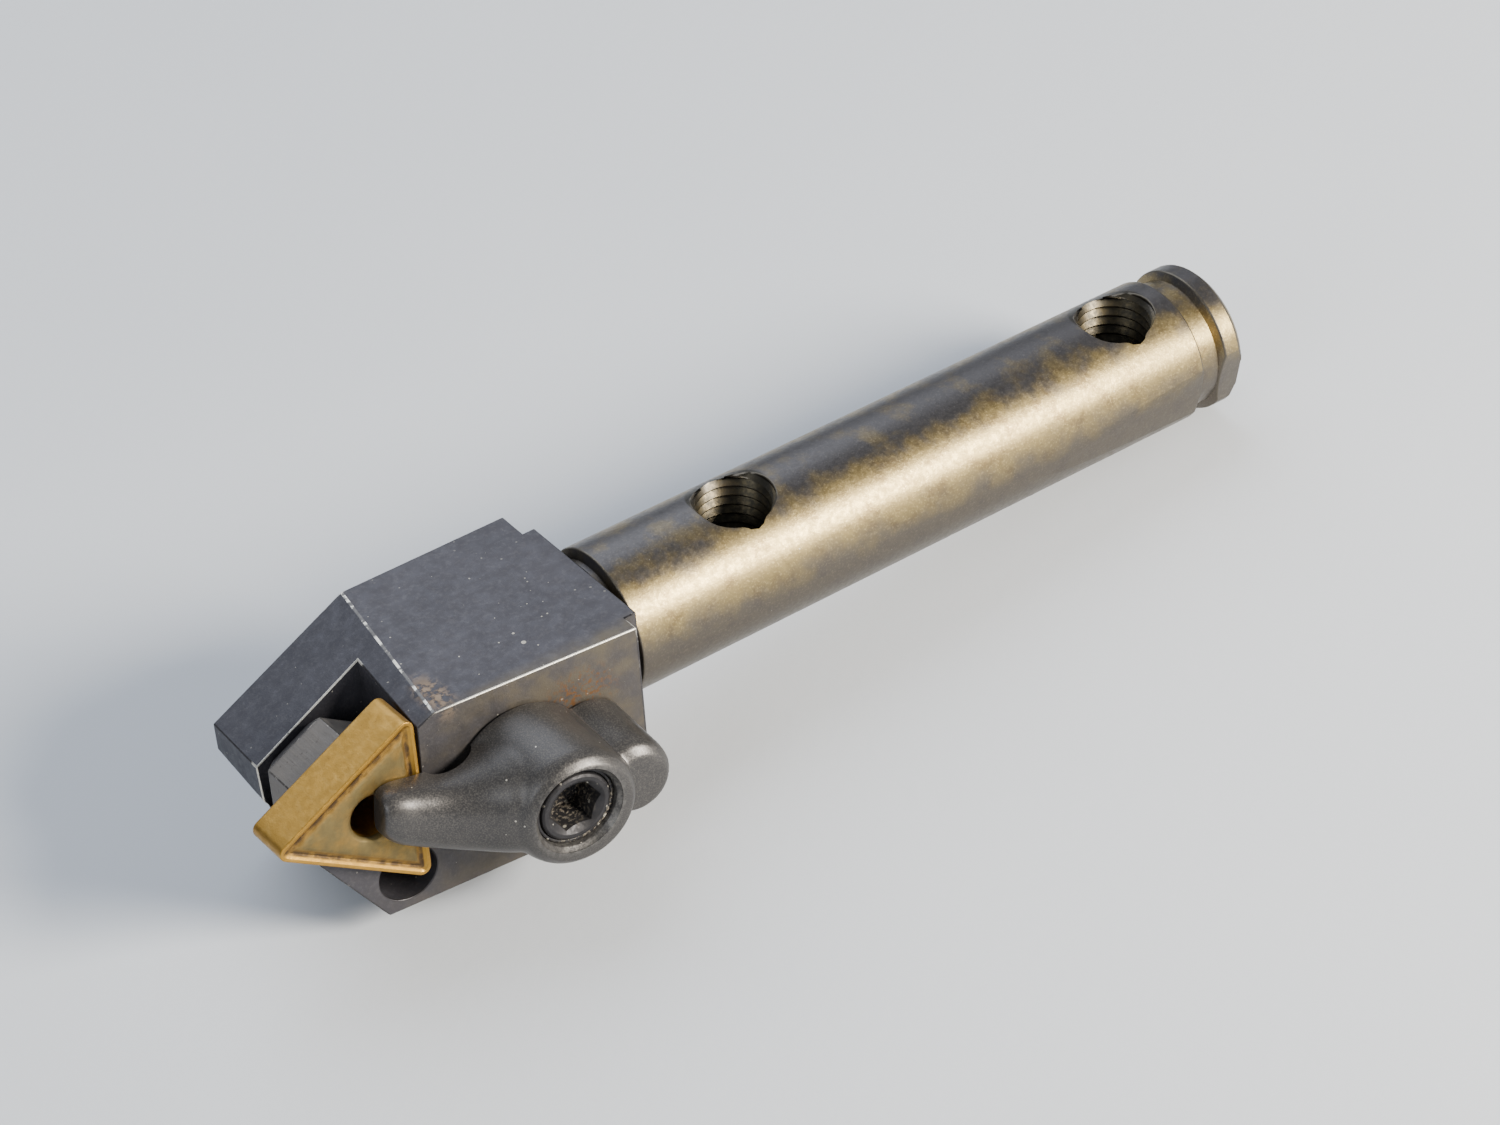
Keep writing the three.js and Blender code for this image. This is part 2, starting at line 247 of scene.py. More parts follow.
MIX_FIRST = 6                          # the colour sockets of a Mix node, found by number because
MIX_SECOND = 7                         # its number sockets have the same names
MIX_RESULT = 2
SOFT_STEP = 0.02                       # of the random number by which a cell is chosen for a speck
DUST = (0.5, 0.47, 0.4)                # the colour of the pale dust on every dark surface


class Look:
    """A procedural material. Sizes are millimetres on the piece, in its own frame."""

    def __init__(self, name, metallic, specular):
        self.material = bpy.data.materials.new(name)
        self.material.use_nodes = True
        self.nodes = self.material.node_tree.nodes
        self.links = self.material.node_tree.links
        self.shader = self.nodes["Principled BSDF"]
        self.shader.inputs["Metallic"].default_value = metallic
        self.shader.inputs["Specular IOR Level"].default_value = specular
        self.place = self.nodes.new("ShaderNodeTexCoord").outputs["Object"]

    def feed(self, socket, value):
        """Links another node's output to a socket, or sets the socket to a plain value."""
        if isinstance(value, bpy.types.NodeSocket):
            self.links.new(value, socket)
        elif isinstance(value, tuple) and len(value) == 3 and socket.type == "RGBA":
            socket.default_value = (*value, 1)
        else:
            socket.default_value = value

    def stretched(self, scale):
        """The place on the piece, scaled along each axis."""
        node = self.nodes.new("ShaderNodeMapping")
        self.feed(node.inputs["Vector"], self.place)
        self.feed(node.inputs["Scale"], scale)
        return node.outputs["Vector"]

    def noise(self, size, detail, stretch=(1, 1, 1), roughness=0.55):
        """Cloudy values round 0.5, in patches of about this size."""
        node = self.nodes.new("ShaderNodeTexNoise")
        self.feed(node.inputs["Vector"], self.stretched(stretch))
        self.feed(node.inputs["Scale"], 1 / (size * MM))
        self.feed(node.inputs["Detail"], detail)
        self.feed(node.inputs["Roughness"], roughness)
        return node.outputs["Fac"]

    def ramp(self, value, low, high, start=0.0, end=1.0):
        """start where the value is low or less, end where it is high or more, smooth between."""
        node = self.nodes.new("ShaderNodeMapRange")
        node.interpolation_type = "SMOOTHSTEP"
        for name, setting in (("Value", value), ("From Min", low), ("From Max", high),
                              ("To Min", start), ("To Max", end)):
            self.feed(node.inputs[name], setting)
        return node.outputs["Result"]

    def math(self, operation, a, b):
        node = self.nodes.new("ShaderNodeMath")
        node.operation = operation
        self.feed(node.inputs[0], a)
        self.feed(node.inputs[1], b)
        return node.outputs["Value"]

    def mix(self, amount, a, b):
        """Colour a where the amount is 0, and b where it is 1."""
        node = self.nodes.new("ShaderNodeMix")
        node.data_type = "RGBA"
        self.feed(node.inputs[0], amount)
        self.feed(node.inputs[MIX_FIRST], a)
        self.feed(node.inputs[MIX_SECOND], b)
        return node.outputs[MIX_RESULT]

    def along(self, direction):
        """How far a point lies along a direction, in millimetres."""
        node = self.nodes.new("ShaderNodeVectorMath")
        node.operation = "DOT_PRODUCT"
        self.feed(node.inputs[0], self.place)
        node.inputs[1].default_value = Vector(direction) / MM
        return node.outputs["Value"]

    def near(self, at, full, none, scale=(1, 1, 1)):
        """1 within full millimetres of a point, 0 beyond none. A scale under 1 stretches the
        ball along that axis."""
        node = self.nodes.new("ShaderNodeVectorMath")
        node.operation = "DISTANCE"
        self.feed(node.inputs[0], self.stretched(scale))
        node.inputs[1].default_value = Vector([a * s for a, s in zip(at, scale)]) * MM
        return self.ramp(node.outputs["Value"], full * MM, none * MM, 1.0, 0.0)

    def specks(self, spacing, radius, share):
        """Small spots, one in each chosen cell: share is how many cells have one."""
        node = self.nodes.new("ShaderNodeTexVoronoi")
        self.feed(node.inputs["Vector"], self.place)
        self.feed(node.inputs["Scale"], 1 / (spacing * MM))
        chosen = self.nodes.new("ShaderNodeSeparateColor")
        self.links.new(node.outputs["Color"], chosen.inputs["Color"])
        pick = self.ramp(chosen.outputs["Red"], 1 - share, 1 - share + SOFT_STEP)
        size = self.math("MULTIPLY", chosen.outputs["Green"], radius / spacing)
        spot = self.math("LESS_THAN", node.outputs["Distance"], size)
        return self.math("MULTIPLY", pick, spot)

    def finish(self, colour, roughness, heights):
        """The finished material. heights are (value, depth in millimetres) pairs, each a bump
        on the one before."""
        self.feed(self.shader.inputs["Base Color"], colour)
        self.feed(self.shader.inputs["Roughness"], roughness)
        normal = None
        for value, depth in heights:
            node = self.nodes.new("ShaderNodeBump")
            node.inputs["Strength"].default_value = 1
            node.inputs["Distance"].default_value = depth * MM
            self.feed(node.inputs["Height"], value)
            if normal is not None:
                self.links.new(normal, node.inputs["Normal"])
            normal = node.outputs["Normal"]
        self.links.new(normal, self.shader.inputs["Normal"])
        return self.material


# ---- camera, light and floor ----------------------------------------------------------------

def make_camera():
    """A camera that looks down on the clamp's side, turned about Z, raised, and rolled a little."""
    aim = Vector((-56.73, -6.044, 3.884)) * MM
    turn = radians(-33.875)
    rise = radians(37.086)
    roll = radians(-3.976)
    distance = 0.32971
    back = Vector((math.sin(turn) * math.cos(rise), -math.cos(turn) * math.cos(rise), math.sin(rise)))
    camera = bpy.data.objects.new("camera", bpy.data.cameras.new("camera"))
    bpy.context.scene.collection.objects.link(camera)
    camera.data.lens = 91.316
    camera.data.sensor_width = 36
    camera.data.clip_start = 0.01
    right = Vector((0, 0, 1)).cross(back).normalized()
    up = back.cross(right)
    across = right * math.cos(roll) + up * math.sin(roll)
    upwards = up * math.cos(roll) - right * math.sin(roll)
    turned_to = Matrix((across, upwards, back)).transposed().to_4x4()
    camera.matrix_world = Matrix.Translation(aim + back * distance) @ turned_to
    bpy.context.scene.camera = camera


def soft_light(name, direction, distance, size, power, colour):
    """A round lamp, aimed at the middle of the tool from a direction and a distance in metres."""
    aim = Vector((-0.055, 0, 0))
    light = bpy.data.objects.new(name, bpy.data.lights.new(name, "AREA"))
    light.data.shape = "DISK"
    light.data.size = size
    light.data.energy = power
    light.data.color = colour
    light.location = aim + Vector(direction).normalized() * distance
    light.rotation_euler = (light.location - aim).to_track_quat("Z", "Y").to_euler()
    bpy.context.scene.collection.objects.link(light)


def make_lights():
    soft_light("key", (0.44, -0.78, 0.46), 0.6, 0.22, 11, (1, 0.94, 0.84))
    soft_light("sky", (0.05, 0.65, 0.75), 0.9, 1.0, 7.5, (0.82, 0.89, 1))
    soft_light("left_fill", (-1, -0.3, 0.5), 0.8, 0.4, 1.6, (0.9, 0.95, 1))
    world = bpy.data.worlds.new("studio")
    world.use_nodes = True
    world.node_tree.nodes["Background"].inputs["Color"].default_value = (0.8, 0.86, 0.95, 1)
    world.node_tree.nodes["Background"].inputs["Strength"].default_value = 0.3
    bpy.context.scene.world = world


def make_floor():
    """A table that the head's rear bottom edge and the shank's tail both rest on."""
    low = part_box("tool_holder")[0]
    drop = -low.z / MM - SHANK_RADIUS
    lean = math.atan2(drop, SHANK_LENGTH)
    clearance = 0.05
    half = 1500.0
    corners = [(-half, -half, 0), (half, -half, 0), (half, half, 0), (-half, half, 0)]
    place = (Matrix.Translation(Vector((0, 0, -SHANK_RADIUS - clearance)) * MM)
             @ Matrix.Rotation(-lean, 4, "Y"))
    floor = new_piece("floor", corners, [(0, 1, 2, 3)], place)
    look = Look("pale_table", 0.0, 0.3)
    tone = look.mix(look.noise(60, 2), (0.62, 0.65, 0.69), (0.68, 0.7, 0.73))
    floor.data.materials.append(look.finish(tone, 0.7, [(look.noise(1.5, 2), 0.02)]))


# ---- holder ---------------------------------------------------------------------------------

TAPPED_HOLES = (16.6, 60.3)            # from the head's rear face to each hole's axis
THREAD_REACH = 4.3                     # from a tapped hole's axis to just past its threads
THREAD_LOW = -4.0
THREAD_HIGH = 6.4
SCREW_HOLES = ((CLAMP, 4.0), (SEAT, 2.2))     # each screw's frame, and just more than its hole's radius
SCREW_HOLE_MOUTH = 1.0                 # how far a screw hole's edges may stand above its frame
COLLAR_LENGTH = 1.25                   # from the head's rear face to where the shank's finish starts
NECK_LENGTH = 3.0                      # from the head's rear face to beyond the narrow neck
WALL_DEPTH = 0.2                       # the facets of the shank's wall lie within this of its radius
NEARLY_ALONG = 0.995                   # cosine between a wall facet and the cylinder's own normal


def in_a_hole(point):
    """Whether a point lies on a thread, or inside the holes for the two screws."""
    for from_head in TAPPED_HOLES:
        beside = math.hypot(point.x + SHANK_LENGTH - from_head, point.y)
        if beside < THREAD_REACH and THREAD_LOW < point.z < THREAD_HIGH:
            return True
    for place, reach in SCREW_HOLES:
        local = place.inverted() @ (point * MM) / MM
        if math.hypot(local.x, local.z) < reach and local.y > -SCREW_HOLE_MOUTH:
            return True
    return False


def head_look():
    black = (0.038, 0.037, 0.044)
    paler_black = (0.066, 0.063, 0.073)
    rubbed_grey = (0.085, 0.081, 0.088)
    grime_brown = (0.115, 0.096, 0.066)
    rust_brown = (0.14, 0.068, 0.027)
    chipped_tan = (0.2, 0.145, 0.1)
    look = Look("blackened_head", 0.55, 0.45)
    colour = look.mix(look.noise(5, 4), black, paler_black)
    colour = look.mix(look.ramp(look.noise(0.35, 2), 0.45, 0.75, 0, 0.5), colour, rubbed_grey)
    # Brown rust and grime on the face that the clamp stands on, thickest round its notch.
    side = look.ramp(look.along((0, 1, 0)), -9.0, -7.0, 1, 0)
    grime = look.math("MULTIPLY", side, look.ramp(look.noise(2.2, 4), 0.3, 0.7, 0.25, 0.85))
    colour = look.mix(grime, colour, grime_brown)
    notch = look.near((-76.8, -9.2, 1.8), 0.8, 4.6, (1, 0.8, 1.3))
    rust = look.math("MULTIPLY", notch, look.ramp(look.noise(0.4, 4), 0.5, 0.62))
    colour = look.mix(rust, colour, rust_brown)
    # A chipped patch by the top's front corner, and pale dust over the top.
    patch = look.near((-89.0, -6.0, 6.1), 0.5, 2.4, (1.3, 0.6, 1))
    chipped = look.math("MULTIPLY", patch, look.ramp(look.noise(0.7, 4), 0.4, 0.56))
    colour = look.mix(chipped, colour, chipped_tan)
    dusty = look.near((-82, -2, 6.1), 3, 13)
    spots = look.math("MULTIPLY", look.specks(0.6, 0.11, 0.22), look.ramp(dusty, 0, 1, 0.35, 1))
    spots = look.math("MAXIMUM", spots, look.specks(2.4, 0.24, 0.14))
    colour = look.mix(look.math("MULTIPLY", spots, 0.75), colour, DUST)
    rough = look.ramp(look.noise(1.2, 4), 0.3, 0.7, 0.42, 0.57)
    heights = [(look.noise(3, 3), 0.05), (look.noise(0.16, 3), 0.012), (chipped, -0.04), (spots, 0.03)]
    return look.finish(colour, rough, heights)


def bronze_colour(look, glint):
    """The shank's bronze tint, with brown blotches and bright painted glints; shank_look keeps it to the
    band where the painted highlight falls.
    """
    bronze = look.mix(look.noise(0.8, 4), (0.16, 0.117, 0.052), (0.26, 0.2, 0.088))
    blotch = look.ramp(look.noise(1.8, 5), 0.5, 0.68, 0, 0.6)
    bronze = look.mix(blotch, bronze, (0.11, 0.075, 0.035))
    return look.mix(glint, bronze, (0.4, 0.31, 0.15))


def shank_look():
    neck_grey = (0.05, 0.048, 0.052)
    painted_hole_shade = (0.035, 0.031, 0.023)
    look = Look("bronzed_shank", 0.85, 0.5)
    height = look.along((0, 0, 1))
    wander = look.ramp(look.noise(3, 5), 0.3, 0.7, -0.8, 0.8)
    level = look.math("ADD", height, wander)
    glint = look.ramp(look.noise(0.2, 3), 0.5, 0.7, 0, 0.5)
    bronze = bronze_colour(look, glint)
    # The bronze tint shows only in a band at the height of the painted highlight; the grey above and
    # below it is painted reflection of the surroundings.
    grey = look.mix(glint, (0.082, 0.077, 0.078), (0.13, 0.12, 0.112))
    wear_and_painted_reflection = look.math("MAXIMUM", look.ramp(level, 4.9, 7.1), look.ramp(level, 3.0, -0.6, 0, 0.8))
    colour = look.mix(wear_and_painted_reflection, bronze, grey)
    # The neck behind the collar stays dark, and inside the tapped holes the colour is painted shade,
    # mottled a little.
    neck = look.ramp(look.along((1, 0, 0)), -69.4, -68.6, 0.8, 0)
    colour = look.mix(neck, colour, neck_grey)
    for from_head in TAPPED_HOLES:
        bored = look.near((from_head - SHANK_LENGTH, 0, 0), 3.8, 4.0, (1, 1, 0))
        hole_shade_mottle = look.ramp(look.noise(0.5, 3), 0.3, 0.7, 0.8, 1)
        colour = look.mix(look.math("MULTIPLY", bored, hole_shade_mottle), colour, painted_hole_shade)
    spots = look.specks(1.9, 0.12, 0.3)
    colour = look.mix(look.math("MULTIPLY", spots, 0.5), colour, DUST)
    rough = look.ramp(look.noise(0.5, 3), 0.3, 0.7, 0.32, 0.42)
    return look.finish(colour, rough, [(look.noise(0.4, 3), 0.011), (look.noise(0.14, 2), 0.004)])


def worn_edge_look(name, dark, bright, amount, wear_and_painted_reflection=()):
    """Bare steel where an edge is worn, dark where it isn't.
    wear_and_painted_reflection lists (point, scale, share) for lines along which the wear is heavy:
    scale is how much the distance from the point counts along each axis."""
    look = Look(name, 0.85, 0.5)
    patchy = look.noise(1.1, 4, roughness=0.7)
    worn = look.ramp(patchy, 0.68 - amount * 0.3, 0.76 - amount * 0.25, 0, 0.6)
    for at, scale, share in wear_and_painted_reflection:
        line = look.near(at, 0.9, 1.5, scale)
        heavy = look.ramp(patchy, 0.72 - share * 0.5, 0.8 - share * 0.5, 0.25 * share, 1)
        worn = look.math("MAXIMUM", worn, look.math("MULTIPLY", line, heavy))
    colour = look.mix(worn, dark, bright)
    rough = look.ramp(look.noise(0.3, 3), 0.3, 0.7, 0.3, 0.5)
    return look.finish(colour, rough, [(look.noise(0.25, 3), 0.02)])


def head_edge_look():
    top_edge = ((-80.5, -9.1, 6.1), (0.085, 1, 1), 0.95)
    top_front_edge = ((-89, 1.5, 6.1), (0.6, 0.05, 1), 0.42)
    pocket_floor_edge = ((-96.5, 3.18, 2), (0.08, 1.5, 0.08), 0.85)
    wear_and_painted_reflection = (top_edge, top_front_edge, pocket_floor_edge)
    return worn_edge_look("head_edges", (0.05, 0.047, 0.05), (0.6, 0.57, 0.5), 0.2, wear_and_painted_reflection)


def round_shank(holder):
    """Gives the facets of the shank's outer wall the normals of a true cylinder."""
    mesh = holder.data
    normals = [normal.vector.copy() for normal in mesh.corner_normals]
    for face in mesh.polygons:
        outwards = Vector((0, face.center.y, face.center.z))
        past_neck = face.center.x / MM > -SHANK_LENGTH + NECK_LENGTH
        on_wall = past_neck and outwards.length / MM > SHANK_RADIUS - WALL_DEPTH
        if on_wall and face.normal.dot(outwards.normalized()) > NEARLY_ALONG:
            for corner in face.loop_indices:
                at = mesh.vertices[mesh.loops[corner].vertex_index].co
                normals[corner] = Vector((0, at.y, at.z)).normalized()
    mesh.normals_split_custom_set(normals)


def make_holder():
    head_looks = (head_look(), head_edge_look())
    shank_edges = worn_edge_look("shank_edges", (0.1, 0.088, 0.07), (0.4, 0.32, 0.2), 0.2)
    looks = (*head_looks, shank_look(), shank_edges)
    holder = refined_copy("tool_holder", "tool_holder_body", width=0.13, looks=looks,
                          keep_sharp=in_a_hole)
    # Behind the collar, the last two looks take the place of the first two.
    for face in holder.data.polygons:
        if face.center.x / MM > -SHANK_LENGTH + COLLAR_LENGTH:
            face.material_index += len(head_looks)
    round_shank(holder)
    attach(holder, "holder")
    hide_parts("tool_holder")


# ---- insert, shim and shim screw ------------------------------------------------------------

CORNERS = [math.pi + k * 2 * math.pi / 3 for k in range(3)]   # the ways in which the corners point
CORNER_RADIUS = 0.8
SMALLEST_RADIUS = 0.12                 # of a corner of an outline that is moved far in
CORNER_STEPS = 8
SIDE_STEPS = 14
HOLE_RADIUS = 3.81 / 2
# The insert's face from its flank to the hole: how far in from the side, and how high.
RIM_AND_GROOVE = ((0.0, -0.2), (0.0, -0.1), (0.03, -0.03), (0.1, 0.0), (0.32, -0.02), (0.5, -0.13),
                  (0.78, -0.24), (1.05, -0.2), (1.25, -0.07), (1.5, -0.03))
# Then round the hole's mouth: how far out from the hole's wall, and how high.
HOLE_MOUTH = ((0.5, -0.03), (0.3, -0.1), (0.08, -0.3), (0, -0.55))


def rounded_triangle(inset, height):
    """A ring of the insert's outline, moved in by inset."""
    radius = max(CORNER_RADIUS - inset, SMALLEST_RADIUS)
    reach = 2 * (INSERT_RADIUS - inset - radius)
    ring = []
    for k, towards in enumerate(CORNERS):
        after = CORNERS[(k + 1) % len(CORNERS)]
        centre = Vector((math.cos(towards), math.sin(towards))) * reach
        following = Vector((math.cos(after), math.sin(after))) * reach
        for step in range(CORNER_STEPS + 1):
            angle = towards + (step / CORNER_STEPS - 0.5) * 2 * math.pi / 3
            ring.append(centre + Vector((math.cos(angle), math.sin(angle))) * radius)
        outwards = towards + math.pi / 3
        offset = Vector((math.cos(outwards), math.sin(outwards))) * radius
        for step in range(1, SIDE_STEPS):
            ring.append(centre.lerp(following, step / SIDE_STEPS) + offset)
    return [(p.x, -height, p.y) for p in ring]


def hole_ring(radius, height):
    """A round ring with a point in the direction of each point of an outline inside the insert."""
    inset = 1.4
    outline = rounded_triangle(inset, height)
    return [(radius * x / math.hypot(x, z), y, radius * z / math.hypot(x, z)) for x, y, z in outline]


def make_insert():
    rings = [rounded_triangle(inset, height) for inset, height in RIM_AND_GROOVE]
    rings += [hole_ring(HOLE_RADIUS + out, height) for out, height in HOLE_MOUTH]
    mirrored = [[(x, INSERT_THICKNESS - y, z) for x, y, z in ring] for ring in reversed(rings)]
    insert = new_piece("insert_body", *loft(rings + mirrored, joined=True), SEAT)
    insert.data.materials.append(insert_look())
    shade(insert, angle=24)
    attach(insert, "insert")
    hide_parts("insert")


def inset_from_sides(look):
    """How far in from the insert's nearest side a point lies, in millimetres."""
    reach = None
    for towards in CORNERS:
        side = look.along((-math.cos(towards), 0, -math.sin(towards)))
        reach = side if reach is None else look.math("MAXIMUM", reach, side)
    return look.math("SUBTRACT", INSERT_RADIUS, reach)


def insert_look():
    deep_gold = (0.29, 0.155, 0.022)
    clear_gold = (0.4, 0.225, 0.04)
    pale_gold = (0.45, 0.275, 0.07)
    spot_brown = (0.24, 0.125, 0.025)
    stain_brown = (0.055, 0.034, 0.018)
    look = Look("titanium_nitride", 0.8, 0.5)
    gold = look.mix(look.noise(1.3, 4), deep_gold, clear_gold)
    streaks = look.ramp(look.noise(0.5, 3, (1, 0.35, 1)), 0.45, 0.75, 0, 0.35)
    colour = look.mix(streaks, gold, pale_gold)
    colour = look.mix(look.ramp(look.noise(0.28, 3), 0.62, 0.74, 0, 0.55), colour, spot_brown)
    inset = inset_from_sides(look)
    face = look.ramp(look.along((0, 1, 0)), 0.3, 0.5, 1, 0)
    # The middle is worn to an olive grey and the groove holds brown stains.
    middle = look.math("MULTIPLY", look.ramp(inset, 0.95, 1.35), face)
    wear = look.math("MULTIPLY", middle, look.ramp(look.noise(1.6, 4), 0.32, 0.6, 0.5, 0.92))
    olive = look.mix(look.noise(0.7, 4), (0.085, 0.07, 0.035), (0.2, 0.155, 0.06))
    colour = look.mix(wear, colour, olive)
    groove = look.math("MULTIPLY", look.ramp(inset, 0.5, 0.66), look.ramp(inset, 0.85, 1.3, 1, 0.12))
    patches = look.ramp(look.noise(0.9, 5), 0.36, 0.62, 0.4, 0.95)
    stain = look.math("MULTIPLY", look.math("MULTIPLY", groove, face), patches)
    colour = look.mix(stain, colour, stain_brown)
    rough = look.ramp(look.noise(0.8, 3), 0.3, 0.7, 0.3, 0.46)
    rough = look.math("ADD", rough, look.math("MULTIPLY", wear, 0.12))
    return look.finish(colour, rough, [(look.noise(0.2, 3), 0.012), (stain, 0.015)])


def shim_look():
    brown_grey = (0.1, 0.089, 0.08)
    pale_grey = (0.17, 0.15, 0.13)
    ground_grey = (0.22, 0.195, 0.17)
    stain = (0.06, 0.05, 0.045)
    grime = (0.035, 0.032, 0.035)
    look = Look("ground_shim", 0.55, 0.45)
    colour = look.mix(look.noise(2.5, 4), brown_grey, pale_grey)
    lines = look.noise(0.25, 2, (1, 0.06, 1))
    colour = look.mix(look.ramp(lines, 0.4, 0.7, 0, 0.4), colour, ground_grey)
    colour = look.mix(look.ramp(look.noise(0.5, 4), 0.6, 0.72, 0, 0.7), colour, stain)
    # Darker towards the foot.
    foot = look.ramp(look.along((0, 1, 0)), 8.2, 9.4, 0, 0.85)
    colour = look.mix(foot, colour, grime)
    rough = look.ramp(lines, 0.3, 0.7, 0.42, 0.58)
    return look.finish(colour, rough, [(lines, 0.012), (look.noise(0.6, 3), 0.02)])


def dark_screw_look(name, dust, middle, reach):
    """Black oxide with an amount of pale grit that gathers within reach of a middle."""
    black = (0.014, 0.0135, 0.015)
    dull_black = (0.04, 0.038, 0.04)
    grit_tan = (0.3, 0.26, 0.2)
    look = Look(name, 0.6, 0.45)
    colour = look.mix(look.noise(0.9, 4), black, dull_black)
    gathered = look.near(middle, reach * 0.4, reach)
    grit = look.math("MULTIPLY", gathered, look.ramp(look.noise(0.3, 4), 0.48, 0.64, 0, dust))
    colour = look.mix(grit, colour, grit_tan)
    colour = look.mix(look.math("MULTIPLY", look.specks(0.5, 0.2, 0.25), dust), colour, DUST)
    rough = look.ramp(look.noise(0.4, 3), 0.3, 0.7, 0.4, 0.62)
    return look.finish(colour, rough, [(look.noise(0.25, 3), 0.02), (grit, 0.05)])


def make_shim():
    looks = (shim_look(), worn_edge_look("shim_edges", (0.1, 0.09, 0.08), (0.42, 0.38, 0.33), 0.5))
    shim = refined_copy("shim", "shim_body", width=0.12, looks=looks)
    place_in(shim, SEAT)
    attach(shim, "holder")
    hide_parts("shim")


def make_shim_screw():
    dark = dark_screw_look("shim_screw_steel", 0.3, (0, 5, 0), 4)
    screw = refined_copy("shim_screw", "shim_screw_body", width=0.06, looks=(dark, dark))
    place_in(screw, SEAT)
    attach(screw, "holder")
    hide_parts("shim_screw")


# ---- clamp, clamp screw and ring ------------------------------------------------------------

BOSS_HEIGHT = 8.4
SCREW_TOP = BOSS_HEIGHT - 0.5          # the screw's head lies a little below the boss's rim
FOOT_HEIGHT = 0.3                      # from the head's face to the clamp's foot
INSERT_GAP = 0.12                      # from the insert's rake face to the clamp's nose
ARM_STEPS = 24                         # round a section of the arm, from its lower to its upper foot
ARM_SIDE_POWER = 0.8                   # 1 gives the arm elliptical sections, less makes them squarer
ARM_TOP_POWER = 0.62
ARM_STEPS_BETWEEN = 4                  # sections for each of the stations below
SKIN_VOXEL = 0.13
SKIN_SMOOTHINGS = 30
# Sections along the arm: where it is, its lower and upper edge, and how high it stands.
ARM_STATIONS = ((-15.2, -0.9, 1.2, 2.3), (-15.0, -1.9, 1.9, 3.0), (-13.9, -3.1, 2.3, 3.5),
                (-12.1, -3.9, 2.2, 3.9), (-9.7, -4.6, 2.2, 4.7), (-7.2, -5.1, 2.9, 6.0),
                (-5.0, -5.3, 4.0, 7.6), (-3.4, -5.3, 4.7, 8.3), (0.0, -5.0, 4.8, 8.4))
# Radius and height up the side of the boss and of the ear behind it.
BOSS_SIDE = ((6.1, 0), (6.1, 0.5), (5.9, 2), (5.75, 5), (5.6, 7), (5.35, 7.8), (4.7, 8.45))
EAR_SIDE = ((3.7, 0), (3.7, 1), (3.6, 3), (3.55, 5), (3.4, 5.8), (2.7, 6.45))


def arm_rings():
    """Rounded sections from the nose to the boss, with a flat foot."""
    rings = []
    for x, low, high, top in smooth_stations(ARM_STATIONS, ARM_STEPS_BETWEEN):
        middle = (low + high) / 2
        half = (high - low) / 2
        ring = []
        for step in range(ARM_STEPS + 1):
            angle = math.pi * step / ARM_STEPS
            across = math.copysign(abs(math.cos(angle)) ** ARM_SIDE_POWER, math.cos(angle))
            ring.append((x, -top * math.sin(angle) ** ARM_TOP_POWER, middle + half * across))
        rings.append(ring)
    return rings


def merged(shapes):
    """One set of points and faces from several shapes that overlap."""
    points = []
    faces = []
    for shape_points, shape_faces in shapes:
        faces += [tuple(i + len(points) for i in face) for face in shape_faces]
        points += shape_points
    return points, faces


def blend_into_one_skin(piece):
    """Joins overlapping shapes into one closed surface, with soft blends as forging leaves them."""
    remesh = piece.modifiers.new("one skin", "REMESH")
    remesh.mode = "VOXEL"
    remesh.voxel_size = SKIN_VOXEL * MM
    forge = piece.modifiers.new("forged blends", "SMOOTH")
    forge.factor = 0.5
    forge.iterations = SKIN_SMOOTHINGS
    apply_modifiers(piece)


def make_clamp():
    boss = turned(BOSS_SIDE, segments=96, lean=(0.19, -0.04), centre=(-1.1, -0.1))
    ear = turned(EAR_SIDE, segments=64, lean=(0.3, -0.25), centre=(5.1, 0.9))
    clamp = new_piece("clamp_body", *merged((boss, ear, loft(arm_rings()))), CLAMP)
    blend_into_one_skin(clamp)
    carve(clamp, clamp_cuts())
    clamp.data.materials.append(clamp_look())
    shade(clamp, angle=30)
    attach(clamp, "clamp")
    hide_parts("clamp")


def arch_cut():
    """The hollow under the arm, between the nose and the boss."""
    middle = -8.2
    half_length = 2.2
    height = 1.4
    foot = 0.2
    half_width = 8
    steps = 16
    turns = [math.pi * k / steps for k in range(steps + 1)]
    rise = [(middle + half_length * math.cos(turn), -foot - height * math.sin(turn)) for turn in turns]
    return loft([[(x, y, z) for x, y in rise] for z in (-half_width, half_width)])


def clamp_cuts():
    """What the clamp loses: below its foot, its arch, the screw's stepped bore, and the insert."""
    far = 40
    wide = 30
    foot = block((-far, -FOOT_HEIGHT, -wide), (far, 10, wide))
    bore_side = ((3.4, -2), (3.4, 6.0), (3.72, 6.0), (3.72, 7.95), (3.8, 8.1), (4.1, 8.35), (4.6, 9.6),
                 (4.6, 12))
    bore = turned(bore_side, segments=128)
    insert = block((-far, -INSERT_GAP, -wide), (5.4, 20, wide))
    return [foot, arch_cut(), bore, turn_points(insert, CLAMP.inverted() @ SEAT)]


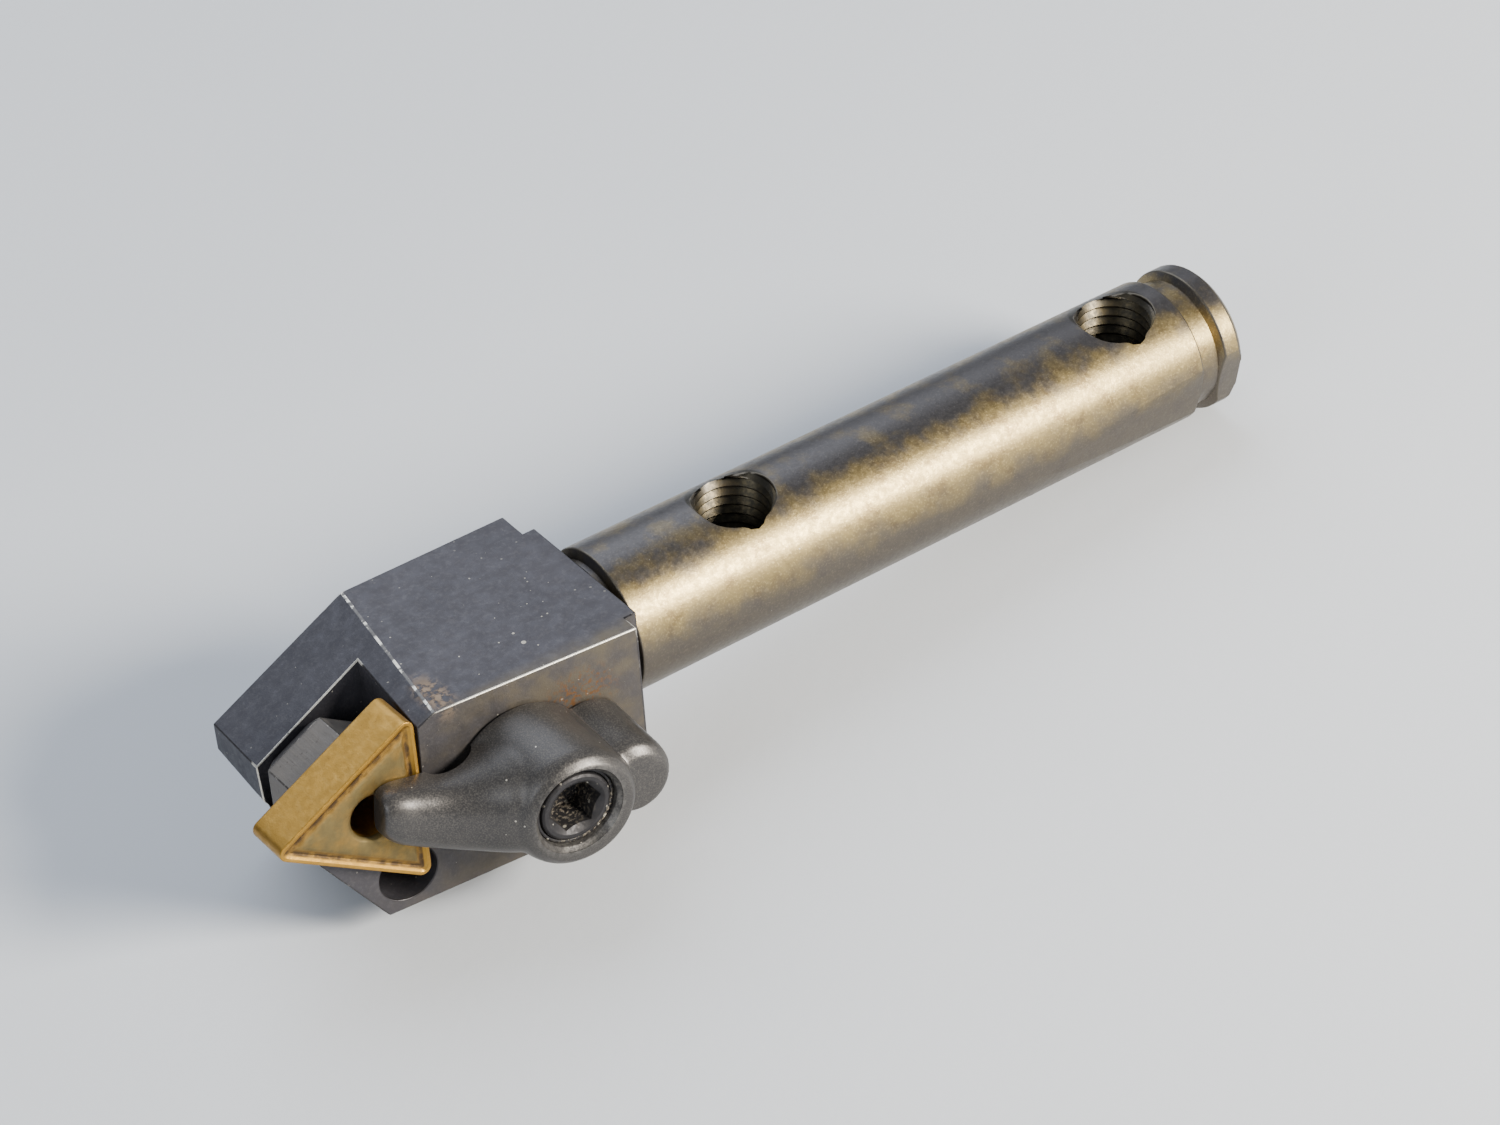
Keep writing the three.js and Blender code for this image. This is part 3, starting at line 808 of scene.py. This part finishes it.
def clamp_look():
    black = (0.044, 0.043, 0.045)
    dull_black = (0.08, 0.075, 0.072)
    satin_grey = (0.15, 0.14, 0.126)
    bare_grey = (0.2, 0.19, 0.175)
    bright_dust = (0.6, 0.57, 0.5)
    look = Look("satin_black_oxide", 0.72, 0.5)
    colour = look.mix(look.noise(4, 4), black, dull_black)
    grain = look.noise(0.13, 3, roughness=0.65)
    colour = look.mix(look.ramp(grain, 0.42, 0.68, 0, 0.55), colour, satin_grey)
    spots = look.math("MAXIMUM", look.specks(1.5, 0.15, 0.22), look.specks(0.6, 0.09, 0.12))
    colour = look.mix(look.math("MULTIPLY", spots, 0.8), colour, bright_dust)
    rim = look.math("MULTIPLY", look.near((0, -BOSS_HEIGHT, 0), 4.0, 4.7),
                    look.ramp(look.noise(0.5, 3), 0.4, 0.65, 0, 0.5))
    colour = look.mix(rim, colour, bare_grey)
    rough = look.ramp(grain, 0.35, 0.65, 0.33, 0.46)
    return look.finish(colour, rough, [(look.noise(1.6, 3), 0.04), (grain, 0.01), (spots, 0.03)])


def screw_socket():
    """A hexagonal socket below a wide coned mouth."""
    across_flats = 4.2
    depth = 3.4
    turned_by = 0.2
    corner = across_flats / math.sqrt(3)
    turns = [k * math.pi / 3 + turned_by for k in range(6)]
    hexagon = [(corner * math.cos(turn), corner * math.sin(turn)) for turn in turns]
    socket = loft([[(x, -h, z) for x, z in hexagon] for h in (SCREW_TOP - depth, SCREW_TOP + 1)])
    mouth_side = ((0.05, SCREW_TOP - 2.2), (2.15, SCREW_TOP - 0.42), (2.72, SCREW_TOP + 0.02),
                  (2.9, SCREW_TOP + 1))
    return [socket, turned(mouth_side, segments=96)]


def make_clamp_screw():
    """A plain round shaft below a wider head, with a hexagonal socket."""
    side = [(2.4, -9.5), (3.0, -8.9), (3.0, SCREW_TOP - 3.7), (3.3, SCREW_TOP - 3.4),
            (3.3, SCREW_TOP - 0.32), (3.22, SCREW_TOP - 0.12), (3.02, SCREW_TOP), (2.9, SCREW_TOP)]
    screw = new_piece("clamp_screw_body", *turned(side, segments=96), CLAMP)
    carve(screw, screw_socket())
    bevel = screw.modifiers.new("worn edges", "BEVEL")
    bevel.limit_method = "ANGLE"
    bevel.angle_limit = radians(35)
    bevel.width = 0.06 * MM
    bevel.segments = 2
    apply_modifiers(screw)
    screw.data.materials.append(dark_screw_look("clamp_screw_steel", 0.75, (0.4, -4.8, -0.6), 3.6))
    shade(screw, angle=30)
    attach(screw, "screw")
    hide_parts("clamp_screw")


def ring_section():
    """A small rectangle with rounded corners: how far out and how high from its middle."""
    half_width = 0.15
    half_height = 0.42
    round_by = 0.08
    least = 0.4
    section = []
    for right, up in ((1, 1), (-1, 1), (-1, -1), (1, -1)):
        corner = [(1, least), (least, 1)]
        if right * up < 0:
            corner.reverse()
        for a, b in corner:
            out = half_width - round_by * (1 - a)
            height = half_height - round_by * (1 - b)
            section.append((right * out, up * height))
    return section


def make_ring():
    """A split ring with rounded edges, in the clamp's counterbore."""
    middle_radius = 3.52
    depth = BOSS_HEIGHT - 1.2
    steps = 72
    split_at = radians(118)
    half_gap = radians(12)
    rings = []
    for step in range(steps + 1):
        angle = split_at + half_gap + (2 * math.pi - 2 * half_gap) * step / steps
        rings.append([((middle_radius + out) * math.cos(angle), -(depth + height),
                       (middle_radius + out) * math.sin(angle)) for out, height in ring_section()])
    ring = new_piece("retaining_ring_body", *loft(rings), CLAMP)
    ring.data.materials.append(dark_screw_look("ring_steel", 0.8, (2.4, -BOSS_HEIGHT, -2.4), 5))
    shade(ring, angle=50)
    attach(ring, "lift")
    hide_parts("retaining_ring")


make_camera()
make_lights()
make_floor()
make_holder()
make_insert()
make_shim()
make_shim_screw()
make_clamp()
make_clamp_screw()
make_ring()
